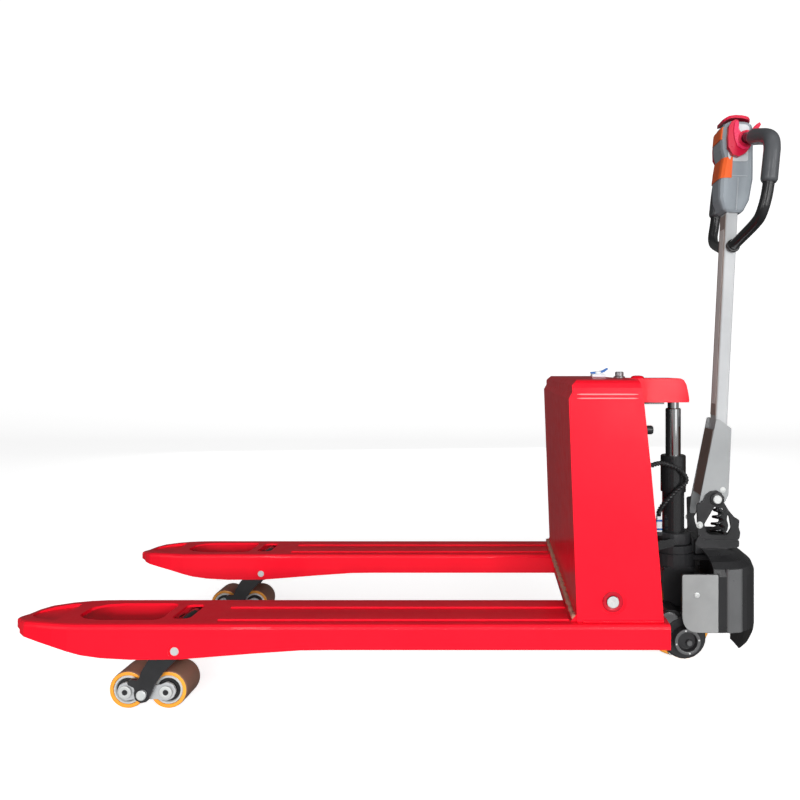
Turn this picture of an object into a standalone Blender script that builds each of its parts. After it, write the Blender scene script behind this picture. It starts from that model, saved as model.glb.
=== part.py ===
"""Semi-electric pallet truck: forks along -X, tiller at +X, on Z = 0 with the forks raised.

All sizes below are in millimetres. Every piece is built in place and scaled to metres at the end.
"""
import math

import bmesh
import bpy
from mathutils import Matrix, Vector

MM = 0.001

# Forks
FORK_Y = 262.5            # centre of each fork from the middle plane
FORK_HALF = 80.0          # half width of a fork
FORK_TOP = 196.5
FORK_WALL = 5.0
FORK_PIN = (-480.0, 141.7)
PIN_R = 9.0
# Front rollers
ROLLER_R = 40.0
ROLLER_HALF = 35.0
AXLE_X = (-601.6, -514.4)
AXLE_Z = 40.0
BOGIE_PIVOT = (-559.4, 40.6)
LINK_IN, LINK_OUT = 36.0, 41.0
ARM_IN, ARM_OUT = 47.5, 55.5
# Push rods and rocker
ROD_Z = 177.0
ROCKER = (436.5, 239.6)
SHAFT_R = 12.5
# Body box
BOX_HALF = 327.0
BOX_TOP = 708.0
BOX_FLOOR = 196.9
BOX_WALL = 5.0
# Lift column
COL_X = 652.7
ROD_R = 19.4
BORE_R = 20.0
# Drive
WHEEL_R = 85.0
WHEEL_HALF = 35.0
COVER_HALF = 155.0
# Tiller
PIVOT = (751.0, 401.0)
LEAN = math.radians(2.886)
TUBE_X = 761.11           # tube axis where it crosses the pivot height
GAP = 0.3

PALETTE = {
    "red": ((0.62, 0.012, 0.022), 0.28, 0.0),
    "black": ((0.012, 0.012, 0.013), 0.35, 0.0),
    "cast": ((0.018, 0.018, 0.019), 0.5, 0.3),
    "steel": ((0.55, 0.56, 0.56), 0.35, 1.0),
    "chrome": ((0.78, 0.79, 0.8), 0.08, 1.0),
    "silver": ((0.50, 0.52, 0.53), 0.4, 0.4),
    "tyre": ((0.85, 0.32, 0.03), 0.45, 0.0),
    "grey": ((0.23, 0.26, 0.28), 0.45, 0.0),
    "orange": ((0.80, 0.17, 0.03), 0.4, 0.0),
    "crimson": ((0.50, 0.012, 0.045), 0.35, 0.0),
    "foam": ((0.03, 0.033, 0.036), 0.8, 0.0),
    "white": ((0.75, 0.78, 0.80), 0.4, 0.0),
}

for old in list(bpy.data.objects):
    bpy.data.objects.remove(old, do_unlink=True)


# ---------------------------------------------------------------- outlines

def fillet(points, radius, steps=4):
    """Round the corners of a closed outline; radius is one number or one per corner."""
    count = len(points)
    radii = radius if isinstance(radius, (list, tuple)) else [radius] * count
    out = []
    for i, here in enumerate(points):
        corner = Vector(here)
        to_prev = Vector(points[i - 1]) - corner
        to_next = Vector(points[(i + 1) % count]) - corner
        half = to_prev.angle(to_next) / 2
        r = radii[i]
        if r < 0.05 or half > math.radians(88):
            out.append(tuple(corner))
            continue
        reach = min(r / math.tan(half), to_prev.length * 0.49, to_next.length * 0.49)
        r = reach * math.tan(half)
        bisector = (to_prev.normalized() + to_next.normalized()).normalized()
        centre = corner + bisector * (r / math.sin(half))
        start = corner + to_prev.normalized() * reach - centre
        end = corner + to_next.normalized() * reach - centre
        turn = math.atan2(start.x * end.y - start.y * end.x, start.dot(end))
        for k in range(steps + 1):
            c = math.cos(turn * k / steps)
            s = math.sin(turn * k / steps)
            out.append((centre.x + c * start.x - s * start.y, centre.y + s * start.x + c * start.y))
    return out


def rectangle(x0, x1, y0, y1, radius=0.0, steps=4):
    return fillet([(x0, y0), (x1, y0), (x1, y1), (x0, y1)], radius, steps)


# ---------------------------------------------------------------- solids

def to_mesh(bm):
    bmesh.ops.recalc_face_normals(bm, faces=bm.faces)
    mesh = bpy.data.meshes.new("solid")
    bm.to_mesh(mesh)
    bm.free()
    return mesh


def loft(sections):
    """Skin a list of equal closed loops and cap both ends."""
    bm = bmesh.new()
    rings = [[bm.verts.new(p) for p in section] for section in sections]
    count = len(rings[0])
    for low, high in zip(rings, rings[1:]):
        for k in range(count):
            n = (k + 1) % count
            bm.faces.new((low[k], low[n], high[n], high[k]))
    bm.faces.new(rings[0][::-1])
    bm.faces.new(rings[-1])
    return to_mesh(bm)


def prism(outline, axis, low, high):
    """Extrude an outline: axis Y takes (x, z), axis X takes (y, z), axis Z takes (x, y)."""
    place = {"X": lambda p, h: (h, p[0], p[1]),
             "Y": lambda p, h: (p[0], h, p[1]),
             "Z": lambda p, h: (p[0], p[1], h)}[axis]
    return loft([[place(p, h) for p in outline] for h in (low, high)])


def block(x0, x1, y0, y1, z0, z1):
    return prism([(x0, y0), (x1, y0), (x1, y1), (x0, y1)], "Z", z0, z1)


def lathe(profile, centre, axis, count=32):
    """Turn (radius, height) points about an axis; ends on the axis close, a closed ring stays hollow."""
    bm = bmesh.new()
    rings = []
    for radius, height in profile:
        if radius < 1e-6:
            rings.append([bm.verts.new((0, 0, height))] * count)
            continue
        rings.append([bm.verts.new((radius * math.cos(2 * math.pi * k / count),
                                    radius * math.sin(2 * math.pi * k / count), height))
                      for k in range(count)])
    pairs = list(zip(rings, rings[1:]))
    if profile[0][0] > 1e-6:
        pairs.append((rings[-1], rings[0]))
    for low, high in pairs:
        for k in range(count):
            n = (k + 1) % count
            face = []
            for vert in (low[k], low[n], high[n], high[k]):
                if vert not in face:
                    face.append(vert)
            if len(face) > 2:
                bm.faces.new(face)
    turn = {"Z": Matrix.Identity(4),
            "X": Matrix.Rotation(math.pi / 2, 4, "Y"),
            "Y": Matrix.Rotation(-math.pi / 2, 4, "X")}[axis]
    bm.transform(Matrix.Translation(centre) @ turn)
    return to_mesh(bm)


def rod(radius, centre, axis, low, high, count=32, chamfer=0.0):
    c = chamfer
    if c:
        profile = [(0, low), (radius - c, low), (radius, low + c),
                   (radius, high - c), (radius - c, high), (0, high)]
    else:
        profile = [(0, low), (radius, low), (radius, high), (0, high)]
    return lathe(profile, centre, axis, count)


def ring(outer, inner, centre, axis, low, high, count=32, chamfer=0.0):
    c = chamfer
    if c:
        profile = [(inner, low), (outer - c, low), (outer, low + c),
                   (outer, high - c), (outer - c, high), (inner, high)]
    else:
        profile = [(inner, low), (outer, low), (outer, high), (inner, high)]
    return lathe(profile, centre, axis, count)


def smooth_path(points, per_span):
    """Catmull-Rom curve through the points."""
    pts = [Vector(p) for p in points]
    pts = [pts[0] * 2 - pts[1]] + pts + [pts[-1] * 2 - pts[-2]]
    out = []
    for a, b, c, d in zip(pts, pts[1:], pts[2:], pts[3:]):
        for k in range(per_span):
            t = k / per_span
            out.append(0.5 * (2 * b + (c - a) * t + (2 * a - 5 * b + 4 * c - d) * t * t
                              + (3 * b - a - 3 * c + d) * t ** 3))
    out.append(pts[-2])
    return out


def frames(path):
    """Centre and two cross directions at each point, carried along without twist."""
    side = None
    out = []
    for i, here in enumerate(path):
        ahead = path[min(i + 1, len(path) - 1)] - path[max(i - 1, 0)]
        ahead.normalize()
        if side is None:
            side = ahead.orthogonal().normalized()
        side = (side - ahead * side.dot(ahead)).normalized()
        out.append((here, side, ahead.cross(side)))
    return out


def round_section(frame, radius, count):
    here, side, up = frame
    turns = [2 * math.pi * k / count for k in range(count)]
    return [here + radius * (math.cos(a) * side + math.sin(a) * up) for a in turns]


def sweep(path, radius, count=12):
    return loft([round_section(f, radius, count) for f in frames(path)])


def sleeve(path, outer, inner, count=10):
    """Hollow round sleeve along a path, with rounded ends."""
    rows = frames(path)
    skin = [(rows[0], outer - 2.5)] + [(row, outer) for row in rows[1:-1]] + [(rows[-1], outer - 2.5)]
    loops = [round_section(row, r, count) for row, r in skin]
    loops += [round_section(row, inner, count) for row in rows[::-1]]
    bm = bmesh.new()
    rings = [[bm.verts.new(p) for p in loop] for loop in loops]
    for low, high in zip(rings, rings[1:] + rings[:1]):
        for k in range(count):
            n = (k + 1) % count
            bm.faces.new((low[k], low[n], high[n], high[k]))
    return to_mesh(bm)


def combine(base, other, operation):
    """Boolean of two closed meshes."""
    a = bpy.data.objects.new("a", base)
    b = bpy.data.objects.new("b", other)
    scene = bpy.context.scene.collection
    scene.objects.link(a)
    scene.objects.link(b)
    mod = a.modifiers.new("m", "BOOLEAN")
    mod.operation = operation
    mod.solver = "EXACT"
    mod.object = b
    bpy.context.view_layer.update()
    result = bpy.data.meshes.new_from_object(a.evaluated_get(bpy.context.evaluated_depsgraph_get()))
    bpy.data.objects.remove(a, do_unlink=True)
    bpy.data.objects.remove(b, do_unlink=True)
    bpy.data.meshes.remove(base)
    bpy.data.meshes.remove(other)
    return result


def fuse(base, *others):
    for other in others:
        base = combine(base, other, "UNION")
    return base


def cut(base, *others):
    for other in others:
        base = combine(base, other, "DIFFERENCE")
    return base


def common(base, other):
    return combine(base, other, "INTERSECT")


def soften(mesh, width, segments=2, angle=35.0):
    """Bevel every edge sharper than the angle."""
    bm = bmesh.new()
    bm.from_mesh(mesh)
    bpy.data.meshes.remove(mesh)
    sharp = [e for e in bm.edges if e.is_manifold and e.calc_face_angle(0) > math.radians(angle)]
    bmesh.ops.bevel(bm, geom=sharp, offset=width, segments=segments, profile=0.5, affect="EDGES",
                    clamp_overlap=True)
    return to_mesh(bm)


def lean(mesh):
    """Tip an upright tiller piece onto the leaning tiller axis."""
    pivot = Vector((PIVOT[0], 0, PIVOT[1]))
    shift = Matrix.Translation((TUBE_X - PIVOT[0], 0, 0))
    mesh.transform(shift @ Matrix.Translation(pivot) @ Matrix.Rotation(LEAN, 4, "Y")
                   @ Matrix.Translation(-pivot))
    return mesh


def material(name):
    if name in bpy.data.materials:
        return bpy.data.materials[name]
    colour, rough, metal = PALETTE[name]
    mat = bpy.data.materials.new(name)
    mat.use_nodes = True
    shader = mat.node_tree.nodes["Principled BSDF"]
    shader.inputs["Base Color"].default_value = (*colour, 1.0)
    shader.inputs["Roughness"].default_value = rough
    shader.inputs["Metallic"].default_value = metal
    mat.diffuse_color = (*colour, 1.0)
    return mat


def piece(name, mesh, mat, origin=(0.0, 0.0, 0.0), angle=32.0):
    """Turn a finished solid into a named object in metres with its origin on its own axis."""
    bm = bmesh.new()
    bm.from_mesh(mesh)
    bpy.data.meshes.remove(mesh)
    bmesh.ops.remove_doubles(bm, verts=bm.verts, dist=0.004)
    bmesh.ops.dissolve_degenerate(bm, dist=0.004, edges=bm.edges)
    bmesh.ops.recalc_face_normals(bm, faces=bm.faces)
    to_origin = Matrix.Scale(MM, 4) @ Matrix.Translation(-Vector(origin))
    bmesh.ops.transform(bm, matrix=to_origin, verts=bm.verts)
    for face in bm.faces:
        face.smooth = True
    final = bpy.data.meshes.new(name)
    bm.to_mesh(final)
    bm.free()
    final.set_sharp_from_angle(angle=math.radians(angle))
    final.materials.clear()
    final.materials.append(material(mat))
    obj = bpy.data.objects.new(name, final)
    obj.location = Vector(origin) * MM
    bpy.context.scene.collection.objects.link(obj)
    return obj


# ---------------------------------------------------------------- forks

# x, half width, top, bottom edge of the side walls
FORK_STATIONS = [
    (-856.63, 9.0, 184.0, 166.0), (-843.0, 22.0, 187.0, 165.5), (-831.0, 39.0, 190.5, 164.5),
    (-812.0, 54.0, 193.5, 162.5), (-775.0, 66.0, 195.8, 156.5), (-740.0, 74.5, 196.5, 150.0),
    (-705.0, 79.0, 196.5, 141.0), (-677.0, 80.0, 196.5, 134.0), (-635.0, 80.0, 196.5, 128.0),
    (-572.0, 80.0, 196.5, 124.5), (-468.0, 80.0, 196.5, 125.5), (-426.0, 80.0, 196.5, 128.6),
    (-322.0, 80.0, 196.5, 137.0), (-218.0, 80.0, 196.5, 144.0), (-156.0, 80.0, 196.5, 144.7),
    (554.5, 80.0, 196.5, 144.7),
]


def fork_section(x, half, top, bottom, centre, radius):
    r = min(radius, half * 0.45)
    outline = fillet([(centre - half, bottom), (centre + half, bottom), (centre + half, top),
                      (centre - half, top)], [0, 0, r, r], 3)
    return [(x, y, z) for y, z in outline]


def fork(centre):
    body = loft([fork_section(x, half, top, bottom, centre, 9.0)
                 for x, half, top, bottom in FORK_STATIONS])
    hollow = []
    for x, half, top, bottom in FORK_STATIONS[2:-1]:
        roof = 19.0 if x < -735 else FORK_WALL
        hollow.append(fork_section(x, half - FORK_WALL, top - roof, bottom - 12, centre, 0.0))
    x, half, top, bottom = FORK_STATIONS[-1]
    hollow.append(fork_section(x - FORK_WALL, half - FORK_WALL, top - FORK_WALL, bottom - 12, centre, 0.0))
    for side in (-1, 1):
        y = centre + side * 36.5
        pad = soften(block(-402, 347, y - 18.5, y + 18.5, FORK_TOP - 2, FORK_TOP + 3), 2.4, 1)
        body = fuse(body, pad)
    body = cut(body, loft(hollow))
    toe = fillet([(-822, centre - 12), (-800, centre - 32), (-772, centre - 44), (-747, centre - 50),
                  (-747, centre + 50), (-772, centre + 44), (-800, centre + 32), (-822, centre + 12)], 8, 2)
    body = cut(body, prism(toe, "Z", FORK_TOP - 7, FORK_TOP + 20))
    window = fillet([(-713, centre - 22), (-690, centre - 42), (-655, centre - 50), (-525, centre - 50),
                     (-525, centre + 50), (-655, centre + 50), (-690, centre + 42), (-713, centre + 22)],
                    16, 2)
    body = cut(body, prism(window, "Z", FORK_TOP - 30, FORK_TOP + 20))
    slot = rectangle(-506, -465, centre - 42, centre + 42, 12, 3)
    body = cut(body, prism(slot, "Z", FORK_TOP - 12, FORK_TOP + 20))
    arm_slot = rectangle(398, 515, centre - 13, centre + 13)
    body = cut(body, prism(arm_slot, "Z", FORK_TOP - 12, FORK_TOP + 20))
    pin_hole = rod(PIN_R + 0.1, (FORK_PIN[0], 0, FORK_PIN[1]), "Y", centre - 100, centre + 100, 24)
    return cut(body, pin_hole)


for name, y in (("fork_right", -FORK_Y), ("fork_left", FORK_Y)):
    piece(name, fork(y), "red")


# ---------------------------------------------------------------- roller gear

def roller_frame(y):
    outline = fillet([(-575, 29), (-578, 44), (-574, 53), (-593, 61), (-590.5, 68.5), (-584, 71.5),
                      (-568.5, 70), (-562, 88), (-549.4, 109.5), (-507, 158), (-480, 163), (-461, 152),
                      (-459, 130), (-470, 119), (-488, 113.8), (-515.5, 86.2), (-532.5, 62.9),
                      (-543.1, 37.5), (-549, 25), (-562.1, 21.6)], 5, 1)
    tube = rod(22, (FORK_PIN[0], 0, FORK_PIN[1]), "Y", y - ARM_IN - 1, y + ARM_IN + 1, 20)
    arms = [prism(outline, "Y", y + side * ARM_IN, y + side * ARM_OUT) for side in (-1, 1)]
    lug = prism(fillet([(-512, 180), (-498, 186), (-470, 150), (-490, 132)], 6, 3), "Y", y - 6, y + 6)
    body = fuse(tube, *arms, lug)
    body = cut(body, rod(PIN_R + GAP, (FORK_PIN[0], 0, FORK_PIN[1]), "Y", y - 80, y + 80, 24))
    return cut(body, rod(10.3, (BOGIE_PIVOT[0], 0, BOGIE_PIVOT[1]), "Y", y - 80, y + 80, 20))


def bogie_link(y):
    px, pz = BOGIE_PIVOT
    front, rear = AXLE_X
    outline = fillet([(front - 20, 40), (front - 14, 54), (front, 60), (front + 14, 54), (px - 15, 53),
                      (px + 15, 53), (rear - 14, 54), (rear, 60), (rear + 14, 54), (rear + 20, 40),
                      (rear + 14, 26), (rear, 20), (rear - 20, 23), (front + 20, 23), (front, 20),
                      (front - 14, 26)], 6, 1)
    parts = []
    for side in (-1, 1):
        parts.append(prism(outline, "Y", y + side * LINK_IN, y + side * LINK_OUT))
    for x in AXLE_X:
        parts.append(rod(10, (x, 0, AXLE_Z), "Y", y - 46.5, y + 46.5, 16))
    for side in (-1, 1):
        low, high = sorted((y + side * 38, y + side * 60))
        parts.append(rod(10, (px, 0, pz), "Y", low, high, 14))
    return fuse(*parts)


def roller_hub(x, y):
    profile = [(10.8, -32.5), (25, -31.0), (28, -34.2), (30.6, -34.2),
               (30.6, 34.2), (28, 34.2), (25, 31.0), (10.8, 32.5)]
    return lathe(profile, (x, y, AXLE_Z), "Y", 20)


def roller_tyre(x, y):
    profile = [(31.2, -ROLLER_HALF), (ROLLER_R - 3, -ROLLER_HALF), (ROLLER_R, -ROLLER_HALF + 3),
               (ROLLER_R, ROLLER_HALF - 3), (ROLLER_R - 3, ROLLER_HALF), (31.2, ROLLER_HALF)]
    return lathe(profile, (x, y, AXLE_Z), "Y", 32)


def push_rod(y):
    bar = block(-503, 436, y + 9, y + 19, ROD_Z - 6, ROD_Z + 6)
    eyes = [rod(8, (x, 0, ROD_Z), "Y", y + 8, y + 20, 12) for x in (-503.9, ROCKER[0])]
    return fuse(bar, *eyes)


for side, y in (("right", -FORK_Y), ("left", FORK_Y)):
    pin_at = (FORK_PIN[0], y, FORK_PIN[1])
    piece("roller_frame_" + side, roller_frame(y), "cast", pin_at)
    piece("fork_pin_" + side, rod(PIN_R, (FORK_PIN[0], 0, FORK_PIN[1]), "Y", y - 80.6, y + 80.6, 24, 1.0),
          "steel", pin_at)
    piece("bogie_link_" + side, bogie_link(y), "silver", (BOGIE_PIVOT[0], y, BOGIE_PIVOT[1]))
    piece("push_rod_" + side, push_rod(y), "black", (ROCKER[0], y, ROD_Z))
    for tag, x in zip(("front", "rear"), AXLE_X):
        piece("roller_hub_%s_%s" % (tag, side), roller_hub(x, y), "steel", (x, y, AXLE_Z))
        piece("roller_tyre_%s_%s" % (tag, side), roller_tyre(x, y), "tyre", (x, y, AXLE_Z))


# ---------------------------------------------------------------- body box

def box_side(inset):
    """Side outline of the box in x, z, drawn in by the inset at the front and top."""
    i = inset
    back = 40 if i else 0
    floor = BOX_FLOOR - (20 if i else 0)
    return [(361 + i, floor), (343.5 + i, 668), (351 + i, 681), (351 + i, 696 - i),
            (363 + i * 0.6, BOX_TOP - i), (495.5 + back, BOX_TOP - i), (502 + back, 665),
            (516.5 + back, 528), (535.5 + back, 317.6), (544 + back, floor)]


def box_front(inset):
    half = BOX_HALF - inset
    low = BOX_FLOOR - 40
    return fillet([(-half, low), (half, low), (half, BOX_TOP - inset), (-half, BOX_TOP - inset)],
                  [0, 0, 28 - inset, 28 - inset], 4)


shell = common(prism(box_side(0), "Y", -BOX_HALF, BOX_HALF), prism(box_front(0), "X", 300, 600))
room = common(prism(box_side(BOX_WALL), "Y", -BOX_HALF, BOX_HALF),
              prism(box_front(BOX_WALL), "X", 300, 600))
shell = cut(shell, room)
apron = prism(fillet([(361, 146), (366, 146), (366, 205), (361, 205)], 0.8, 2), "Y", -182.0, 182.0)
weld = prism([(349, 197.2), (362, 197.2), (360.5, 212)], "Y", -322.0, 322.0)
shell = fuse(shell, apron, weld)
for side in (-1, 1):
    low, high = sorted((side * (BOX_HALF - 2), side * (BOX_HALF + 5)))
    shell = cut(shell, rod(27, (ROCKER[0], 0, ROCKER[1]), "Y", low, high, 28))
shell = cut(shell, rod(SHAFT_R + 0.4, (ROCKER[0], 0, ROCKER[1]), "Y", -400, 400, 24))
piece("box_shell", shell, "red")

head_plan = fillet([(496.8, -60), (680, -60), (680, 60), (496.8, 60)], [0, 10, 10, 0], 3)
head_side = [(490, 646), (677, 646), (679, 650), (675, 672), (670, 692), (663, 703), (655, 706.5),
             (490, 706.5)]
crosshead = common(prism(head_plan, "Z", 640, 712), prism(head_side, "Y", -70, 70))
crosshead = soften(crosshead, 4, 2, 50)
trough = fillet([(470, -52), (648, -52), (667.3, -34), (667.3, 34), (648, 52), (470, 52)], 8, 2)
crosshead = cut(crosshead, prism(trough, "Z", 600, 685.3))
piece("crosshead", crosshead, "red")
piece("crosshead_strap", block(498, 617, -50, 50, 641, 645.7), "black")

panel = prism([(484, 640), (488, 640), (513, 400), (509, 400)], "Y", -318, 318)
piece("rear_panel", soften(panel, 1.0, 1), "black")
piece("panel_knob", lathe([(0, 0), (5, 0), (5, 24), (9, 27), (10, 31), (10, 42), (8, 45), (0, 45)],
                          (494.0, -250, 595), "X", 16), "black", (494.0, -250, 595))

battery = soften(block(372, 474, -190, 190, 412, 690), 6, 2)
piece("battery_pack", battery, "black")
pump = fuse(rod(44, (411, 0, 335), "Y", -205, -90, 20, 3), block(376, 448, -92, -44, 296, 376))
piece("pump_unit", pump, "cast")
piece("controller", soften(block(367, 446, 44, 205, 300, 392), 3, 2), "black")

plug = fuse(soften(block(440, 476, -16, 16, 708.4, 717), 3, 2), rod(9, (458, 0, 0), "Z", 712, 724, 24, 2))
piece("charge_plug", plug, "white", (458, 0, 708.4))
switch = lathe([(0, 706.9), (15, 706.9), (15, 710), (11, 712), (11, 721), (9, 723), (0, 723)],
               (513, 0, 0), "Z", 20)
piece("key_switch", switch, "steel", (513, 0, 706.9))

rocker = rod(SHAFT_R, (ROCKER[0], 0, ROCKER[1]), "Y", -328.5, 328.5, 20)
for y in (-FORK_Y, FORK_Y):
    arm = fillet([(416, 246), (424, 262), (449, 262), (457, 246), (447, 168), (441, 165), (432, 165),
                  (426, 168)], 5, 1)
    rocker = fuse(rocker, prism(arm, "Y", y - 6, y + 6))
for low, high in ((-56, -46), (46, 56)):
    yoke = fillet([(416, 236), (428, 262), (446, 264), (560, 287), (634, 303), (645, 296), (640, 284),
                   (560, 264), (448, 219), (424, 219)], 5, 1)
    rocker = fuse(rocker, prism(yoke, "Y", low, high))
piece("rocker_shaft", rocker, "steel", (ROCKER[0], 0, ROCKER[1]))


# ---------------------------------------------------------------- lift column

COLUMN = (COL_X, 0, 0)
piece("piston_rod", lathe([(0, 380), (ROD_R, 380), (ROD_R, 626.5), (ROD_R - 2, 628.5), (14.2, 628.5),
                           (14.2, 685), (0, 685)], COLUMN, "Z", 28), "chrome", (COL_X, 0, 628.5))
piece("cylinder", lathe([(0, 262.3), (28, 262.3), (28, 413), (32, 413.5), (32, 505), (30, 507.5),
                         (BORE_R, 507.5), (BORE_R, 270), (0, 270)], COLUMN, "Z", 28), "black",
      (COL_X, 0, 262.3))
base = ring(44, 28.4, COLUMN, "Z", 282, 312, 28, 2.5)
tab = cut(block(602, 640, -27, -5, 304, 312), rod(30, COLUMN, "Z", 250, 400, 24))
piece("pump_base", fuse(base, tab), "cast", (COL_X, 0, 282))
connector = fuse(soften(block(604, 618, -24, -8, 312.3, 344), 1.5, 2), block(606, 616, -22, -10, 340, 352))
piece("connector", connector, "white", (611, -16, 312.3))

CABLE_ROUTE = [(505.4, -62, 488), (530, -62, 489), (560, -60, 487), (580, -56, 487), (596, -52, 491),
               (611, -48, 492), (629, -43.5, 487), (646, -42, 481), (661, -41.5, 471), (671, -41, 460),
               (675, -40.5, 448), (669, -40.5, 437), (655, -40.5, 426), (640, -40, 412), (627, -37.5, 397),
               (617, -31, 382), (612, -22, 368), (611, -16.5, 359), (611, -16, 352.4)]
piece("cable", sweep(smooth_path(CABLE_ROUTE, 2), 6.3, 8), "black", (505.4, -62, 488))


# ---------------------------------------------------------------- steered unit

collar = ring(50, 28.7, COLUMN, "Z", 262.2, 281.5, 24)
web = cut(block(692, 706, -30, 30, 263, 297), rod(45, COLUMN, "Z", 250, 400, 32))
floor = cut(soften(block(698, 806, -45, 45, 283, 298), 2.5, 1), rod(46, COLUMN, "Z", 250, 400, 32))
cheek = fillet([(703, 291), (700.5, 391), (709, 390), (717, 396), (724, 411), (735, 420), (751, 423),
                (763, 416), (768, 394), (781, 372), (794, 357), (808, 348), (806, 330), (810, 316),
                (808, 302), (797, 291)], 4, 1)
window = fillet([(744, 381), (719, 338), (724, 317), (736, 311), (776, 310), (787, 328), (782, 356),
                 (762, 381)], 5, 2)
bracket = fuse(collar, web, floor)
for side in (-1, 1):
    low, high = sorted((side * 39, side * 46))
    plate = cut(prism(cheek, "Y", low, high), prism(window, "Y", low - 5, high + 5))
    low, high = sorted((side * 40, side * 49.5))
    bracket = fuse(bracket, plate, rod(17.5, (PIVOT[0], 0, PIVOT[1]), "Y", low, high, 16))
bracket = cut(bracket, rod(11.4, (PIVOT[0], 0, PIVOT[1]), "Y", -80, 80, 20))
piece("swivel_bracket", bracket, "cast", (COL_X, 0, 262.2))
piece("tiller_pin", rod(11, (PIVOT[0], 0, PIVOT[1]), "Y", -53, 53, 20, 1.5), "steel",
      (PIVOT[0], 0, PIVOT[1]))

coil = []
for k in range(49):
    t = k / 48
    r = 18 - 11 * t
    a = 2 * math.pi * 4 * t
    coil.append(Vector((768 + r * math.cos(a), r * math.sin(a), 301.6 + 72 * t)))
piece("return_spring", sweep(coil, 3.0, 5), "steel", (768, 0, 298.6))

carrier = rod(55, COLUMN, "Z", 226, 261.8, 24)
leg = fillet([(614, 232), (692, 232), (692, 110), (680, 66), (660, 56), (645, 56), (625, 66),
              (614, 110)], 10, 1)
carrier = fuse(carrier, block(616, 690, -50, 50, 186, 230), prism(leg, "Y", -52, -40),
               prism(leg, "Y", 40, 52), soften(block(660, 812, -34, 34, 243, 256), 3, 1))
carrier = cut(carrier, rod(12.3, (COL_X, 0, WHEEL_R), "Y", -80, 80))
piece("drive_carrier", carrier, "cast", (COL_X, 0, WHEEL_R))
AXLE = (COL_X, 0, WHEEL_R)
piece("drive_axle", rod(12, AXLE, "Y", -57.8, 60, 24, 1.5), "steel", AXLE)
piece("drive_hub", lathe([(12.5, -33), (22, -33), (26, -27), (52, -31), (61.8, -34), (61.8, 34),
                          (52, 31), (26, 27), (22, 33), (12.5, 33)], AXLE, "Y", 24), "cast", AXLE)
piece("drive_tyre", lathe([(62.6, -WHEEL_HALF), (WHEEL_R - 4, -WHEEL_HALF), (WHEEL_R, -WHEEL_HALF + 4),
                           (WHEEL_R, WHEEL_HALF - 4), (WHEEL_R - 4, WHEEL_HALF), (62.6, WHEEL_HALF)],
                          AXLE, "Y", 36), "tyre", AXLE)

case = rod(51.5, (646, 0, 83), "Y", -127, -58.3, 28, 4)
neck = prism(fillet([(590, 128), (602, 148), (628, 146), (668, 116), (640, 80), (604, 84)], 8, 1), "Y",
             -118, -62)
case = fuse(case, neck, rod(24, (609.8, 0, 121.6), "Y", -124, -62, 16))
for turn in (100, 165, 235, 300):
    a = math.radians(turn)
    case = fuse(case, rod(7, (646 + 50.5 * math.cos(a), 0, 83 + 50.5 * math.sin(a)), "Y", -112, -80, 8))
piece("gearbox", case, "cast", (646, 0, 83))
cap = lathe([(0, -140), (21, -140), (23, -149), (25, -151), (29, -151), (31, -149), (31, -127.3),
             (0, -127.3)], (646, 0, 83), "Y", 22)
cap = fuse(cap, rod(8, (652, 0, 78), "Y", -146, -138, 10))
piece("gear_cap", cap, "cast", (646, 0, 83))
piece("drive_motor", lathe([(0, 72), (30, 72), (38, 80), (38, 228), (36, 232), (36, 242.7), (0, 242.7)],
                           (790, 0, 0), "Z", 28), "cast", (790, 0, 242.7))


def cover_plan(inset, height, back):
    """Plan outline of the drive cover at one height, open side at the back."""
    points = []
    half = COVER_HALF - inset
    reach = 115 - inset
    for k in range(25):
        a = -math.pi / 2 + math.pi * k / 24
        c, s = math.cos(a), math.sin(a)
        points.append((725 + reach * abs(c) ** 0.8, half * math.copysign(abs(s) ** 0.8, s), height))
    return [(back, -half, height)] + points + [(back, half, height)]


def cover_solid(wall, back, low):
    levels = [(low, 26), (45, 12), (80, 3), (106, 0), (238, 0), (254, 6), (267, 22), (275, 48), (279, 84)]
    rows = []
    for height, inset in levels:
        drop = wall if height > 200 else 0
        rows.append(cover_plan(inset + wall, height - drop, back))
    return loft(rows)


cover = cut(cover_solid(0, 708, 15), cover_solid(4, 660, 14))
trim = [(-400, 0), (400, 0), (400, 106), (112, 106), (84, 88), (50, 40), (30, 18), (-30, 18), (-50, 40),
        (-84, 88), (-112, 106), (-400, 106)]
cover = cut(cover, prism(trim, "X", 640, 900), block(640, 800, -120, 120, 0, 105.9))
for side in (-1, 1):
    low, high = sorted((side * (COVER_HALF - 4), side * COVER_HALF))
    wing = fillet([(631, 245), (720, 245), (720, 106), (631, 106)], [4, 0, 0, 46], 6)
    cover = fuse(cover, prism(wing, "Y", low, high))
piece("drive_cover", cover, "black", (COL_X, 0, 245))


# ---------------------------------------------------------------- tiller

wedge_side = fillet([(752, 602), (759.5, 602), (791, 579), (785, 446), (783, 410), (776, 394), (764, 384),
                     (751, 381.5), (740, 385), (729, 365), (719, 349), (706, 349), (706, 359),
                     (710.5, 397)], 3, 1)
plates = [prism(wedge_side, "Y", -37.3, -32), prism(wedge_side, "Y", 32, 37.3)]
strip = prism([(715, 409), (719, 408.5), (749.8, 575), (746, 575.5)], "Y", -33, 33)
shelf = prism([(734.5, 464), (782.5, 464), (782.8, 470), (736, 470)], "Y", -33, 33)
wedge = fuse(plates[0], strip, shelf, plates[1])
wedge = cut(wedge, rod(11.4, (PIVOT[0], 0, PIVOT[1]), "Y", -80, 80, 20))
piece("tiller_wedge", wedge, "silver", (PIVOT[0], 0, PIVOT[1]))

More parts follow.
